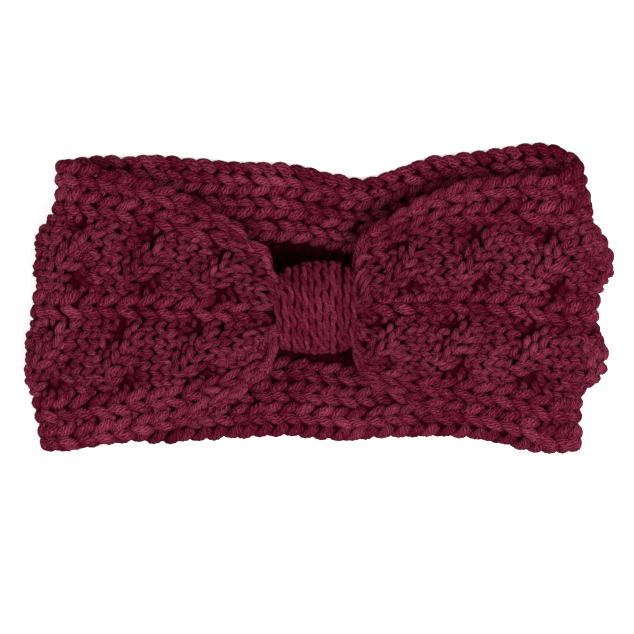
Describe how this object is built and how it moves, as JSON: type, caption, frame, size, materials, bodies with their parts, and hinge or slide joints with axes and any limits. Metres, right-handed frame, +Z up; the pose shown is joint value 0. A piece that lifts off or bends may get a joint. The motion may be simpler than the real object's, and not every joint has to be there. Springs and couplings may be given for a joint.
{
  "type": "knitted ear warmer headband with a gathered front",
  "caption": "Wide loop of chunky ribbed and cabled knitting that covers the forehead and ears, its front gathered by a wound-yarn wrap, lying flat.",
  "frame": {"origin": "on the surface that the headband lies on, under the middle of its outline", "axes": "+X along the flat band to the wearer's side at the picture's right, +Y across the band towards its upper edge, +Z up out of the surface, towards the gathered front"},
  "size_m": [0.215, 0.1144, 0.0386],
  "materials": {
    "band_yarn": "matte chunky two-ply yarn, deep crimson, knitted in ribs and cables",
    "wrap_yarn": "matte two-ply yarn, deep crimson, wound round the gathers"
  },
  "bodies": {
    "root": {"band": "band_yarn", "centre_wrap": "wrap_yarn"}
  },
  "joints": []
}
